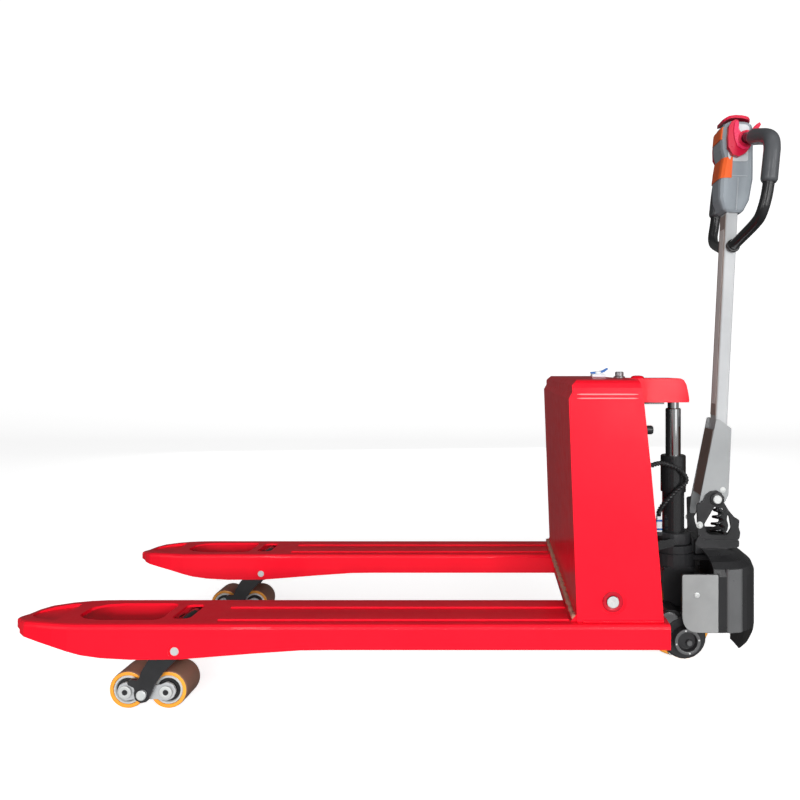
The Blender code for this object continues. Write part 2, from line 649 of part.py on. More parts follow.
tube_x = PIVOT[0]
tube = prism(rectangle(tube_x - 15, tube_x + 15, -23.5, 23.5, 4, 3), "Z", 472.5, 1156)
tube = cut(tube, prism(rectangle(tube_x - 12, tube_x + 12, -20.5, 20.5, 2, 2), "Z", 460, 1170))
piece("tiller_tube", lean(tube), "silver", (PIVOT[0], 0, PIVOT[1]))

# z, front, back, half width, corner radius, all from the tiller axis
HEAD_STATIONS = [
    (1131, -18, 22, 30, 10), (1138, -26, 29, 33, 12), (1164, -37, 41, 37, 16), (1203, -39.5, 45, 41, 18),
    (1215, -39, 46, 43, 18), (1225, -38, 45.5, 43.5, 18), (1243, -36.5, 44.5, 44.5, 18),
    (1270, -33, 43, 45, 18), (1288, -39, 42, 45, 18), (1312, -41, 41.5, 45, 18), (1340, -40, 40, 44, 18),
    (1354, -34, 36, 40, 15), (1361, -24, 27, 33, 11),
]


def head_solid(grow):
    rows = []
    for z, front, back, half, radius in HEAD_STATIONS:
        outline = rectangle(tube_x + front - grow, tube_x + back + grow, -half - grow, half + grow,
                            radius + grow, 3)
        rows.append([(x, y, z) for x, y in outline])
    return loft(rows)


HUB = (12.0, 1308.0)      # throttle axis: offset from the tiller axis, height
THROTTLE_IN = 48.0        # inner face of each throttle wing
head = cut(head_solid(0), prism(rectangle(tube_x - 15.4, tube_x + 15.4, -23.9, 23.9, 4, 3), "Z", 1100, 1157))
for side in (-1, 1):
    low, high = sorted((side * 37, side * 80))
    head = cut(head, rod(13.8, (tube_x + HUB[0], 0, HUB[1]), "Y", low, high, 20))
piece("head_shell", lean(head), "grey", (PIVOT[0], 0, PIVOT[1]))


def keypad(z0, z1, x1, half):
    pad = common(head_solid(2.4), block(tube_x - 60, tube_x + x1, -half, half, z0, z1))
    return cut(pad, head_solid(0.3))


piece("keypad_upper", lean(keypad(1313, 1345, -22, 34)), "orange", (PIVOT[0], 0, PIVOT[1]))
piece("keypad_lower", lean(keypad(1214, 1266, -14, 60)), "orange", (PIVOT[0], 0, PIVOT[1]))

LOOP = [(12, -38.5, 1308), (12, -67, 1308), (16, -88, 1303), (23, -120, 1294), (28, -150, 1283),
        (30, -171, 1269), (29.5, -181, 1248), (28, -183, 1225), (26.5, -183, 1195), (25, -183, 1166),
        (22, -182, 1135), (18, -177, 1108), (16, -163, 1089), (14, -140, 1078), (11, -110, 1068),
        (8, -80, 1059), (5, -50, 1050), (3.5, -26, 1045)]


def loop_path(side, first, last, per_span):
    points = smooth_path([(tube_x + x, -side * y, z) for x, y, z in LOOP], per_span)
    return points[first * per_span:last * per_span + 1]


for name, side in (("right", -1), ("left", 1)):
    path = loop_path(side, 0, len(LOOP) - 1, 2)
    low, high = sorted((side * 23.9, side * 36))
    boss = rod(17, (tube_x + 3.5, 0, 1045), "Y", low, high, 16)
    piece("loop_" + name, lean(fuse(sweep(path, 13.4, 8), boss)), "black", (PIVOT[0], 0, PIVOT[1]))
    piece("grip_" + name, lean(sleeve(loop_path(side, 2, 9, 2), 19.5, 14.6)), "foam",
          (PIVOT[0], 0, PIVOT[1]))

wing = [(-45, 4), (-44, 30), (-38, 42), (-28, 48), (-21, 46), (-19, 36), (-20, 24), (-12, 16), (2, 15),
        (12, 22), (24, 38), (32, 44), (36, 38), (28, 24), (18, 8), (17, -8), (12, -20), (0, -36),
        (-16, -45), (-32, -40), (-43, -22)]
wing = [(tube_x + HUB[0] + x, HUB[1] + z) for x, z in wing]
for name, side in (("right", -1), ("left", 1)):
    low, high = sorted((side * THROTTLE_IN, side * 61))
    lever = prism(wing, "Y", low, high)
    low, high = sorted((side * THROTTLE_IN, side * 66))
    lever = fuse(lever, rod(21, (tube_x + HUB[0], 0, HUB[1]), "Y", low, high, 20))
    lever = cut(lever, rod(14.8, (tube_x + HUB[0], 0, HUB[1]), "Y", -90, 90, 20))
    hub_lean = math.sin(LEAN) * (HUB[1] - PIVOT[1]) + math.cos(LEAN) * HUB[0]
    hub_rise = math.cos(LEAN) * (HUB[1] - PIVOT[1]) - math.sin(LEAN) * HUB[0]
    piece("throttle_" + name, lean(lever), "crimson",
          (TUBE_X + hub_lean, side * THROTTLE_IN, PIVOT[1] + hub_rise))

cap_line = [(-45, 1351), (-37, 1360), (-24, 1366.5), (-8, 1369.5), (8, 1369.5), (24, 1367), (34, 1362.5)]
cap_out = [(tube_x + x, z + 7.5) for x, z in reversed(cap_line)]
belly = prism(fillet([(tube_x + x, z) for x, z in cap_line] + cap_out, 2, 2), "Y", -40, 40)
belly = common(belly, prism(rectangle(tube_x - 36, tube_x + 33.5, -35, 35, 16, 3), "Z", 1300, 1400))
piece("belly_button", lean(belly), "crimson", (PIVOT[0], 0, PIVOT[1]))
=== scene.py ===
"""Semi-electric pallet truck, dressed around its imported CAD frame.

Shapes are drawn in millimetres and scaled to metres in make().
"""
import math

import bmesh
import bpy
from mathutils import Matrix, Vector


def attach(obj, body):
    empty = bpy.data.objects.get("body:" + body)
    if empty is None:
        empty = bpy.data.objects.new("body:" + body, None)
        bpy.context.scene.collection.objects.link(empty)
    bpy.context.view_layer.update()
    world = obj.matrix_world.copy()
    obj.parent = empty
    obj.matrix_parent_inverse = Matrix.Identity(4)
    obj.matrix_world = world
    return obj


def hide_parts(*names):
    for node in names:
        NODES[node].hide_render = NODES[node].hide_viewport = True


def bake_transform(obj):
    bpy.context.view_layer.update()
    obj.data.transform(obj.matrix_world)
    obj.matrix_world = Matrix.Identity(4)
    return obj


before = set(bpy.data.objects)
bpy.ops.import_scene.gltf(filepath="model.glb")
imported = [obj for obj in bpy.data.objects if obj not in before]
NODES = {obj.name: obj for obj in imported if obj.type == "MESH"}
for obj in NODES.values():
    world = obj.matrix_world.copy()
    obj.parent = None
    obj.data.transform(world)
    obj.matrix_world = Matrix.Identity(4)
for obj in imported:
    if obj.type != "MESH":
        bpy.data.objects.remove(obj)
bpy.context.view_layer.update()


# ---------------------------------------------------------------- materials

class Shader:
    """Small wrapper that adds nodes to one material."""

    def __init__(self, name, colour, rough=0.4, metal=0.0, **extra):
        self.mat = bpy.data.materials.new(name)
        self.mat.use_nodes = True
        self.tree = self.mat.node_tree
        self.bsdf = self.tree.nodes["Principled BSDF"]
        self.set("Base Color", (*colour, 1.0))
        self.set("Roughness", rough)
        self.set("Metallic", metal)
        for key, value in extra.items():
            self.set(key.replace("_", " "), value)
        self.coord = self.tree.nodes.new("ShaderNodeTexCoord").outputs["Object"]
        self.mat.diffuse_color = (*colour, 1.0)

    def set(self, socket, value):
        self.bsdf.inputs[socket].default_value = value

    def node(self, kind, **values):
        made = self.tree.nodes.new(kind)
        for key, value in values.items():
            setattr(made, key, value)
        return made

    def link(self, a, b):
        self.tree.links.new(a, b)

    def noise(self, scale, detail=4.0, rough=0.55, stretch=(1, 1, 1)):
        mapping = self.node("ShaderNodeMapping")
        mapping.inputs["Scale"].default_value = stretch
        self.link(self.coord, mapping.inputs["Vector"])
        tex = self.node("ShaderNodeTexNoise")
        tex.inputs["Scale"].default_value = scale
        tex.inputs["Detail"].default_value = detail
        tex.inputs["Roughness"].default_value = rough
        self.link(mapping.outputs["Vector"], tex.inputs["Vector"])
        return tex.outputs["Fac"]

    def ramp(self, factor, stops):
        """Map a factor through grey stops of (position, level)."""
        ramp = self.node("ShaderNodeValToRGB")
        ends = ramp.color_ramp.elements
        while len(ends) < len(stops):
            ends.new(0.5)
        for end, (pos, col) in zip(ends, stops):
            end.position = pos
            end.color = (col, col, col, 1.0)
        self.link(factor, ramp.inputs["Fac"])
        return ramp.outputs["Color"]

    def mix(self, factor, a, b):
        """Mix two colours; each argument is a socket or a plain colour."""
        mix = self.node("ShaderNodeMix", data_type="RGBA")
        for socket, value in ((mix.inputs[0], factor), (mix.inputs[6], a), (mix.inputs[7], b)):
            if isinstance(value, tuple):
                socket.default_value = (*value, 1.0)
            else:
                self.link(value, socket)
        return mix.outputs[2]

    def vary(self, socket, factor, low, high, start=0.3, end=0.7):
        """Let a socket range from low to high with the factor."""
        span = self.node("ShaderNodeMapRange")
        span.inputs["From Min"].default_value = start
        span.inputs["From Max"].default_value = end
        span.inputs["To Min"].default_value = low
        span.inputs["To Max"].default_value = high
        self.link(factor, span.inputs["Value"])
        self.link(span.outputs["Result"], self.bsdf.inputs[socket])

    def bump(self, *layers):
        """Stack bump layers of (height, distance in mm)."""
        normal = None
        for height, distance in layers:
            bump = self.node("ShaderNodeBump")
            bump.inputs["Distance"].default_value = distance * 0.001
            self.link(height, bump.inputs["Height"])
            if normal is not None:
                self.link(normal, bump.inputs["Normal"])
            normal = bump.outputs["Normal"]
        self.link(normal, self.bsdf.inputs["Normal"])


DUST = (0.55, 0.5, 0.46)


def paint(name, colour, deep, rough, coat=0.6, bump=0.05, dust=0.0, specular=0.5):
    """Coated paint or plastic: clouded colour, fine grain and optional dust specks."""
    s = Shader(name, colour, rough, 0.0, Coat_Weight=coat, Coat_Roughness=0.06,
               Specular_IOR_Level=specular)
    cloud = s.noise(7.0, 5.0, 0.6)
    fine = s.noise(420.0, 3.0, 0.5)
    base = s.mix(s.ramp(cloud, [(0.3, 0.0), (0.72, 1.0)]), colour, deep)
    if dust:
        specks = s.ramp(s.noise(900.0, 2.0, 0.7), [(0.72, 0.0), (0.82, dust)])
        base = s.mix(specks, base, DUST)
    s.link(base, s.bsdf.inputs["Base Color"])
    s.vary("Roughness", s.noise(38.0, 6.0, 0.6), rough * 0.88, rough * 1.16)
    s.bump((fine, bump * 0.7), (s.noise(9.0, 2.0, 0.45), bump * 2.2))
    return s.mat


MATS = {
    "red": paint("red_powder_coat", (0.86, 0.006, 0.022), (0.78, 0.004, 0.019), 0.34, 0.16, 0.03,
                 specular=0.3),
    "black": paint("black_gloss_paint", (0.012, 0.012, 0.013), (0.018, 0.018, 0.019), 0.24),
    "plastic": paint("black_moulded_plastic", (0.014, 0.014, 0.015), (0.02, 0.02, 0.022), 0.3, 0.4),
    # painted reflection: a mid grey for the black plastic cover's flat side panel, standing in for the
    # white reflection on it
    "panel": paint("painted_reflection_grey_panel", (0.33, 0.335, 0.335), (0.24, 0.245, 0.245), 0.3, 0.35),
    "cast": paint("black_cast_iron", (0.014, 0.014, 0.015), (0.030, 0.030, 0.032), 0.36, 0.3, 0.35),
    "silver": paint("silver_lacquer", (0.47, 0.48, 0.49), (0.40, 0.41, 0.42), 0.36, 0.2, 0.04),
    "wedge": paint("sand_cast_alloy", (0.34, 0.35, 0.355), (0.28, 0.29, 0.295), 0.42, 0.1, 0.12),
    "strip": paint("plain_tiller_strip", (0.36, 0.27, 0.24), (0.28, 0.21, 0.19), 0.34, 0.2, 0.03),
    "grey": paint("grey_moulded_plastic", (0.31, 0.345, 0.375), (0.25, 0.28, 0.31), 0.42, 0.1, 0.06),
    "rim": paint("light_grey_plastic", (0.56, 0.585, 0.61), (0.50, 0.525, 0.55), 0.38, 0.15, 0.04),
    "orange": paint("orange_keypad", (0.86, 0.15, 0.03), (0.78, 0.11, 0.02), 0.4, 0.1),
    "crimson": paint("crimson_plastic", (0.60, 0.008, 0.045), (0.48, 0.006, 0.035), 0.3, 0.3),
    "foam": paint("black_foam", (0.062, 0.065, 0.072), (0.080, 0.084, 0.090), 0.32, 0.3, 0.2),
    "white": paint("white_plastic", (0.70, 0.73, 0.76), (0.62, 0.65, 0.68), 0.4, 0.1),
    "blue": paint("blue_plastic", (0.02, 0.13, 0.42), (0.02, 0.09, 0.30), 0.35, 0.2),
    "tyre": paint("amber_polyurethane", (0.90, 0.40, 0.05), (0.80, 0.29, 0.03), 0.34, 0.2),
    # a darker brown for the outer tread faces of the rollers than for the amber tyre sides
    "tread": paint("dark_brown_tread", (0.34, 0.19, 0.135), (0.26, 0.14, 0.10), 0.42, 0.2, 0.15),
    "pale": paint("pale_strip", (0.74, 0.68, 0.66), (0.66, 0.60, 0.58), 0.34, 0.2, 0.03),
    "bright": paint("bright_crimson", (0.78, 0.03, 0.11), (0.66, 0.02, 0.08), 0.26, 0.4),
    # painted highlight: a pale pink-red for the cap ledge beads, standing in for the white highlight lines
    # along the ledges
    "ledge_highlight": paint("painted_highlight_pink_red", (0.92, 0.30, 0.31), (0.88, 0.22, 0.24), 0.22, 0.4),
    "bronze": paint("brown_primer", (0.20, 0.125, 0.10), (0.14, 0.085, 0.07), 0.34, 0.2),
    # painted shade: a darker red for the rocker boss ring, standing in for the shade in the recess round
    # the shaft end
    "deep": paint("recess_shade_red", (0.50, 0.004, 0.018), (0.42, 0.003, 0.015), 0.3, 0.3),
    # a lighter grey copy of the black plastic; on the cover rib it is painted sheen, standing in for the
    # lit ridge
    "rib": paint("mid_black_plastic", (0.11, 0.112, 0.115), (0.08, 0.081, 0.083), 0.3, 0.4),
    "weld": paint("raw_weld", (0.50, 0.27, 0.19), (0.30, 0.12, 0.09), 0.38, 0.1, 0.5),
}


def metal(name, colour, rough, stretch, scale=160.0, bump=0.02):
    """Bare metal with a brushed or turned grain."""
    s = Shader(name, colour, rough, 1.0)
    grain = s.noise(scale, 4.0, 0.6, stretch)
    s.vary("Roughness", grain, rough * 0.7, rough * 1.5)
    dull = tuple(c * 0.72 for c in colour)
    s.link(s.mix(s.noise(24.0, 5.0, 0.6), colour, dull), s.bsdf.inputs["Base Color"])
    s.bump((grain, bump))
    return s.mat


MATS["steel"] = metal("turned_steel", (0.62, 0.63, 0.64), 0.30, (1, 6, 1))
MATS["zinc"] = metal("zinc_plate", (0.86, 0.88, 0.87), 0.42, (1, 1, 1), 90.0, 0.03)
MATS["zinc"].node_tree.nodes["Principled BSDF"].inputs["Metallic"].default_value = 0.45
MATS["dark_steel"] = metal("oiled_steel", (0.20, 0.20, 0.21), 0.18, (1, 1, 1), 120.0, 0.02)
MATS["chrome"] = metal("hard_chrome", (0.80, 0.81, 0.82), 0.07, (1, 1, 0.05), 300.0, 0.002)

LOOK = {
    "red": ["fork_right", "fork_left", "box_shell", "crosshead"],
    "black": ["push_rod_right", "push_rod_left", "cylinder", "crosshead_strap", "loop_right", "loop_left",
              "rear_panel", "cable", "rocker_shaft"],
    "wedge": ["tiller_wedge"],
    "plastic": ["drive_cover", "panel_knob", "controller", "battery_pack"],
    "cast": ["swivel_bracket", "pump_base", "pump_unit", "drive_carrier", "gearbox", "gear_cap",
             "drive_hub", "drive_motor", "roller_frame_right", "roller_frame_left"],
    "steel": ["roller_hub_front_right", "roller_hub_rear_right",
              "roller_hub_front_left", "roller_hub_rear_left", "drive_axle", "return_spring", "key_switch"],
    "zinc": ["tiller_pin", "fork_pin_right", "fork_pin_left"],
    "chrome": ["piston_rod"],
    "silver": ["bogie_link_right", "bogie_link_left", "tiller_tube"],
    "tyre": ["roller_tyre_front_right", "roller_tyre_rear_right", "roller_tyre_front_left",
             "roller_tyre_rear_left", "drive_tyre"],
    "grey": ["head_shell"],
    "orange": ["keypad_upper", "keypad_lower"],
    "crimson": ["throttle_right", "throttle_left", "belly_button"],
    "foam": ["grip_right", "grip_left"],
    "white": ["charge_plug", "connector"],
}
for look, names in LOOK.items():
    for name in names:
        mesh = NODES[name].data
        mesh.materials.clear()
        mesh.materials.append(MATS[look])


# ---------------------------------------------------------------- shapes

MM = 0.001
SLOT_LOOKS = {"red_paint": ("red", "ledge_highlight", "deep"), "black_paint": ("black",),
              "black_plastic": ("plastic", "panel", "rib"), "cast_black": ("cast",),
              "silver_paint": ("silver", "wedge", "strip", "pale", "bronze"),
              "grey_plastic": ("grey", "rim"), "orange_plastic": ("orange",),
              "crimson_plastic": ("crimson", "bright"), "foam": ("foam",),
              "white_plastic": ("white", "blue"), "polyurethane": ("tyre", "tread"),
              "steel": ("weld", "steel", "zinc", "dark_steel"), "chrome": ("chrome",)}
SLOT = {look: slot for slot, looks in SLOT_LOOKS.items() for look in looks}
TURN = {"Z": Matrix.Identity(4), "Y": Matrix.Rotation(-math.pi / 2, 4, "X")}
SIDES = (("right", -1), ("left", 1))
FORK_Y = 262.5
AXLE_X = (-601.6, -514.4)
AXLE_Z = 40.0
LINK_PIVOT = (-559.4, 40.6)
FORK_PIN = (-480.0, 141.7)
ROCKER = (436.5, 0.0, 239.6)
WHEEL = (652.7, 0.0, 85.0)
GEAR = (646.0, 0.0, 83.0)
COVER_Y = 156.3
SPRING_X = 768.0
PIVOT = Vector((751.0, 0.0, 401.0))
TUBE_X = 761.11
LEAN = math.radians(2.886)
LEANING = (Matrix.Translation((TUBE_X - PIVOT.x, 0, 0)) @ Matrix.Translation(PIVOT)
           @ Matrix.Rotation(LEAN, 4, "Y") @ Matrix.Translation(-PIVOT))


def bevel(obj, width):
    """Soften the sharp edges of a piece by a width in millimetres."""
    weld = obj.modifiers.new("weld", "WELD")
    weld.merge_threshold = 0.00002
    mod = obj.modifiers.new("bevel", "BEVEL")
    mod.width = width * MM
    mod.segments = 2
    mod.limit_method = "ANGLE"
    mod.angle_limit = math.radians(32.0)
    mod.harden_normals = True


def make(name, bm, look, body, edge=0.0, smooth=35.0, stands_for=(), leaning=False):
    """Finish a mesh drawn in millimetres as a piece that rides on a body."""
    if leaning:
        bm.transform(LEANING)
    bmesh.ops.recalc_face_normals(bm, faces=bm.faces)
    bmesh.ops.scale(bm, vec=(MM, MM, MM), verts=bm.verts)
    mesh = bpy.data.meshes.new(name)
    bm.to_mesh(mesh)
    bm.free()
    for face in mesh.polygons:
        face.use_smooth = True
    mesh.set_sharp_from_angle(angle=math.radians(smooth))
    mesh.materials.append(MATS[look])
    obj = bpy.data.objects.new(name, mesh)
    bpy.context.scene.collection.objects.link(obj)
    if edge:
        bevel(obj, edge)
    if body:
        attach(obj, body)
    if stands_for:
        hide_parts(*stands_for)
    return obj


def skin(bm, rings, closed=False, caps=True):
    """Join equal rings with quads, and cap the ends or close the loop."""
    rows = [[bm.verts.new(p) for p in ring] for ring in rings]
    pairs = list(zip(rows, rows[1:])) + ([(rows[-1], rows[0])] if closed else [])
    count = len(rows[0])
    for low, high in pairs:
        for k in range(count):
            n = (k + 1) % count
            bm.faces.new((low[k], low[n], high[n], high[k]))
    if caps and not closed:
        bm.faces.new(rows[0][::-1])
        bm.faces.new(rows[-1])


def turned(bm, profile, centre, axis, count=48):
    """Turn (radius, height) points; radius 0 closes an end, otherwise the profile is a closed ring."""
    place = Matrix.Translation(centre) @ TURN[axis]
    rings = []
    for radius, height in profile:
        r = max(radius, 0.02)
        rings.append([place @ Vector((r * math.cos(2 * math.pi * k / count),
                                      r * math.sin(2 * math.pi * k / count), height))
                      for k in range(count)])
    hollow = profile[0][0] > 0
    skin(bm, rings, closed=hollow, caps=not hollow)


def plate(bm, outline, axis, low, high):
    """Extrude a flat outline along Y (outline in x, z) or Z (outline in x, y)."""
    place = {"Y": lambda p, h: (p[0], h, p[1]), "Z": lambda p, h: (p[0], p[1], h)}[axis]
    skin(bm, [[place(p, h) for p in outline] for h in (low, high)])


def rounded(points, radius, steps=5):
    """Round the corners of a closed outline; radius is one number or one per corner."""
    radii = radius if isinstance(radius, (list, tuple)) else [radius] * len(points)
    out = []
    for i, here in enumerate(points):
        corner = Vector(here)
        back = Vector(points[i - 1]) - corner
        ahead = Vector(points[(i + 1) % len(points)]) - corner
        reach = min(radii[i] / math.tan(back.angle(ahead) / 2), back.length * 0.49, ahead.length * 0.49)
        if radii[i] <= 0:
            out.append(tuple(corner))
            continue
        start, end = corner + back.normalized() * reach, corner + ahead.normalized() * reach
        for k in range(steps + 1):
            t = k / steps
            out.append(tuple(start * (1 - t) ** 2 + corner * 2 * t * (1 - t) + end * t * t))
    return out


def curve(points, per_span):
    """Catmull-Rom curve through the points."""
    pts = [Vector(p) for p in points]
    pts = [pts[0] * 2 - pts[1]] + pts + [pts[-1] * 2 - pts[-2]]
    out = []
    for a, b, c, d in zip(pts, pts[1:], pts[2:], pts[3:]):
        for k in range(per_span):
            t = k / per_span
            out.append(0.5 * (2 * b + (c - a) * t + (2 * a - 5 * b + 4 * c - d) * t * t
                              + (3 * b - a - 3 * c + d) * t ** 3))
    out.append(pts[-2])
    return out


def pipe(bm, path, radius, count=20):
    """Sweep a round section; radius is a number or a function of (step, turn angle)."""
    side = None
    rings = []
    for i, here in enumerate(path):
        ahead = (path[min(i + 1, len(path) - 1)] - path[max(i - 1, 0)]).normalized()
        if side is None:
            side = ahead.orthogonal().normalized()
        else:
            side = (side - ahead * side.dot(ahead)).normalized()
        up = ahead.cross(side)
        ring = []
        for k in range(count):
            a = 2 * math.pi * k / count
            r = radius(i, a) if callable(radius) else radius
            ring.append(here + r * (math.cos(a) * side + math.sin(a) * up))
        rings.append(ring)
    skin(bm, rings)


def bolt(bm, centre, axis, out, radius, height, washer=1.5):
    """Hex bolt head on a washer, pointing along the axis in the sign of out."""
    base = [(0, 0), (radius * 1.45, 0), (radius * 1.45, out * washer * 0.7), (radius * 1.35, out * washer),
            (0, out * washer)]
    turned(bm, base, centre, axis, 28)
    head = [(0, out * washer), (radius, out * washer), (radius, out * (washer + height * 0.8)),
            (radius * 0.86, out * (washer + height)), (radius * 0.5, out * (washer + height)),
            (radius * 0.45, out * (washer + height * 0.92)), (0, out * (washer + height * 0.92))]
    turned(bm, head, centre, axis, 6)


def new():
    return bmesh.new()


# ---------------------------------------------------------------- softened CAD edges

EDGE = {"fork_right": 2.2, "fork_left": 2.2, "box_shell": 2.0, "crosshead": 1.2,
        "crosshead_strap": 0.8, "rear_panel": 0.8, "swivel_bracket": 1.2, "tiller_wedge": 1.0,
        "tiller_tube": 1.2, "drive_cover": 1.2, "roller_frame_right": 1.2, "roller_frame_left": 1.2,
        "bogie_link_right": 0.8, "bogie_link_left": 0.8, "gearbox": 1.5, "gear_cap": 0.8,
        "push_rod_right": 0.8, "push_rod_left": 0.8, "pump_base": 1.0, "drive_carrier": 1.2,
        "keypad_upper": 0.8, "keypad_lower": 0.8, "throttle_right": 1.6, "throttle_left": 1.6,
        "belly_button": 1.2, "head_shell": 0.8, "charge_plug": 0.6, "connector": 0.6,
        "rocker_shaft": 0.8}
for node_name, width in EDGE.items():
    bevel(NODES[node_name], width)


# ---------------------------------------------------------------- rollers and wheels

TREAD_FROM = 38.8


def paint_recess_shade(obj, x, low, high):
    """Paint the faces between two radii round a roller axle in the black cast-iron colour, as painted shade
    in the recess.
    """
    obj.data.materials.append(MATS["cast"])
    for face in obj.data.polygons:
        if low < math.hypot(face.center.x / MM - x, face.center.z / MM - AXLE_Z) < high:
            face.material_index = 1


def roller(tag, side, x, y):
    body = "roller_%s_%s" % (tag, side)
    tyre = new()
    turned(tyre, [(31.2, -33.8), (32.4, -35), (36, -35), (38.6, -34.2), (39.7, -32.2), (40, -29.5),
                  (40, 29.5), (39.7, 32.2), (38.6, 34.2), (36, 35), (32.4, 35), (31.2, 33.8)],
           (x, y, AXLE_Z), "Y", 96)
    tread = make("tread_%s_%s" % (tag, side), tyre, "tyre", body,
                 stands_for=["roller_tyre_%s_%s" % (tag, side)])
    # Faces beyond TREAD_FROM get the darker brown tread colour.
    tread.data.materials.append(MATS["tread"])
    for face in tread.data.polygons:
        if math.hypot(face.center.x - x * MM, face.center.z - AXLE_Z * MM) > TREAD_FROM * MM:
            face.material_index = 1
    hub = new()
    turned(hub, [(10.8, -32.6), (14.5, -33.4), (16, -32.2), (19.5, -32.2), (20.5, -30.8), (25, -31.0),
                 (26.4, -34.2), (29.6, -34.2), (30.6, -33.0), (30.6, 33.0), (29.6, 34.2), (26.4, 34.2),
                 (25, 31.0), (20.5, 30.8), (19.5, 32.2), (16, 32.2), (14.5, 33.4), (10.8, 32.6)],
           (x, y, AXLE_Z), "Y", 72)
    core = make("core_%s_%s" % (tag, side), hub, "zinc", body,
                stands_for=["roller_hub_%s_%s" % (tag, side)])
    # The hub recess between radii 16.2 and 25.6 mm gets painted shade.
    paint_recess_shade(core, x, 16.2, 25.6)


for side, sign in SIDES:
    y = sign * FORK_Y
    for tag, x in zip(("front", "rear"), AXLE_X):
        roller(tag, side, x, y)
    nuts = new()
    for x in AXLE_X:
        for out in (-1, 1):
            turned(nuts, [(0, out * 46.2), (13.5, out * 46.2), (13.5, out * 46.9), (12.8, out * 47.25),
                          (7, out * 47.25), (6, out * 46.9), (0, out * 46.9)], (x, y, AXLE_Z), "Y", 40)
    pins = make("bogie_pins_%s" % side, nuts, "zinc", "bogie_%s" % side)
    # The recessed pin centres get painted shade.
    for x in AXLE_X:
        paint_recess_shade(pins, x, 0.0, 6.4)
    caps = new()
    for out in (-1, 1):
        turned(caps, [(0, out * 59.8), (10.5, out * 59.8), (10.5, out * 61.5), (8.5, out * 63),
                      (0, out * 63)], (LINK_PIVOT[0], y, LINK_PIVOT[1]), "Y", 36)
    make("bogie_pivot_caps_%s" % side, caps, "zinc", "bogie_%s" % side)
    sleeve = new()
    turned(sleeve, [(0, -46), (18.5, -46), (20.5, -44), (20.5, 44), (18.5, 46), (0, 46)],
           (-487, y, 169.5), "Y", 48)
    make("slot_roll_%s" % side, sleeve, "black", "roller_frame_%s" % side)
    beads = new()
    for out in (-1, 1):
        arc = [Vector((FORK_PIN[0] + 12.6 * math.cos(t), y + out * 80.2,
                       FORK_PIN[1] + 12.6 * math.sin(t)))
               for t in [math.radians(115 + 5 * k) for k in range(32)]]
        pipe(beads, arc, lambda i, a: 1.5 + 0.25 * math.sin(i * 1.7), 10)
    make("fork_pin_welds_%s" % side, beads, "red", "frame")

wheel = new()
turned(wheel, [(62.6, -33.6), (64, -35), (78, -35), (82.6, -34), (84.6, -31.5), (85, -28), (85, 28),
               (84.6, 31.5), (82.6, 34), (78, 35), (64, 35), (62.6, 33.6)], WHEEL, "Y", 112)
make("drive_tread", wheel, "tyre", "drive_wheel", stands_for=["drive_tyre"])


# ---------------------------------------------------------------- box details

for side, sign in SIDES:
    # The boss ring is coloured darker red as painted shade of the recess.
    boss = new()
    turned(boss, [(13.6, sign * 324.6), (21.4, sign * 324.6), (22.0, sign * 326.6), (20.4, sign * 328.2),
                  (16.0, sign * 328.6), (13.6, sign * 327.4)], ROCKER, "Y", 56)
    make("rocker_boss_%s" % side, boss, "deep", "frame")
    end = new()
    turned(end, [(0, sign * 328.4), (12.2, sign * 328.4), (12.4, sign * 329.4), (11.2, sign * 330.4),
                 (4, sign * 330.4), (3, sign * 329.6), (0, sign * 329.6)], ROCKER, "Y", 48)
    make("rocker_end_%s" % side, end, "zinc", "rocker")
    # Two beads along the cap, coloured pale pink-red as a painted highlight line.
    ledges = new()
    for z, size in ((677.0, 1.5), (668.5, 1.3)):
        line = [Vector((x, sign * 327.3, z)) for x in range(361, 491, 3)]
        pipe(ledges, line, lambda i, a: size * (1 - 0.7 * max(0.0, 1 - min(i, 43 - i) / 3.0)), 12)
    make("cap_ledges_%s" % side, ledges, "ledge_highlight", "frame")
    seam = new()
    line = [Vector((x, sign * 328.6, 198.6)) for x in range(374, 544, 2)]
    pipe(seam, line, lambda i, a: 2.0 + 0.25 * math.sin(i * 1.9) + 0.15 * math.sin(i * 0.7 + a), 14)
    make("side_seam_%s" % side, seam, "red", "frame")

bead = new()
line = [Vector((354.5 + 0.8 * math.sin(k * 0.23), -321 + 2.0 * k, 205.0 + 0.9 * math.sin(k * 0.37)))
        for k in range(322)]
pipe(bead, line, lambda i, a: 4.8 + 0.9 * math.sin(i * 1.15 + a) + 0.6 * math.sin(i * 0.31), 14)
make("front_weld", bead, "weld", "frame")

lever = new()
plate(lever, rounded([(438, 717.4), (462, 717.4), (474, 722), (484, 730), (481, 733), (470, 727),
                      (458, 723.6), (438, 722.4)], 2, 4), "Y", -4.5, 4.5)
make("plug_lever", lever, "blue", "frame", 0.8)
lump = new()
turned(lump, [(0, 706.8), (16, 706.8), (17, 709), (13, 711.8), (6, 713), (0, 713)], (560, 0, 0), "Z", 40)
make("crosshead_stud", lump, "red", "frame")


# ---------------------------------------------------------------- steered unit details

for side, sign in SIDES:
    # The flat side panel of the black cover is coloured grey as a painted reflection.
    panel = new()
    y = sorted((sign * 155.1, sign * COVER_Y))
    plate(panel, rounded([(632, 244), (717, 244), (717, 107), (632, 107)], [5, 3, 3, 52], 10), "Y", *y)
    make("cover_panel_%s" % side, panel, "panel", "steer", 0.5)
    screws = new()
    turned(screws, [(0, sign * COVER_Y), (6.4, sign * COVER_Y), (6.2, sign * 157.6), (4.4, sign * 158.4),
                    (2.2, sign * 158.4), (1.8, sign * 157.4), (0, sign * 157.4)], (666.5, 0, 196), "Y", 32)
    make("cover_screws_%s" % side, screws, "zinc", "steer")
    # The rib gets the lighter grey copy of the black plastic as painted sheen.
    rib = new()
    plan = [(736, 152), (739, 156.5), (743, 158.2), (771, 153.2), (777, 148.5), (776, 144), (740, 149)]
    plate(rib, rounded([(x, sign * y) for x, y in plan], 1.5, 3), "Z", 106.5, 256)
    make("cover_rib_%s" % side, rib, "rib", "steer", 1.6)

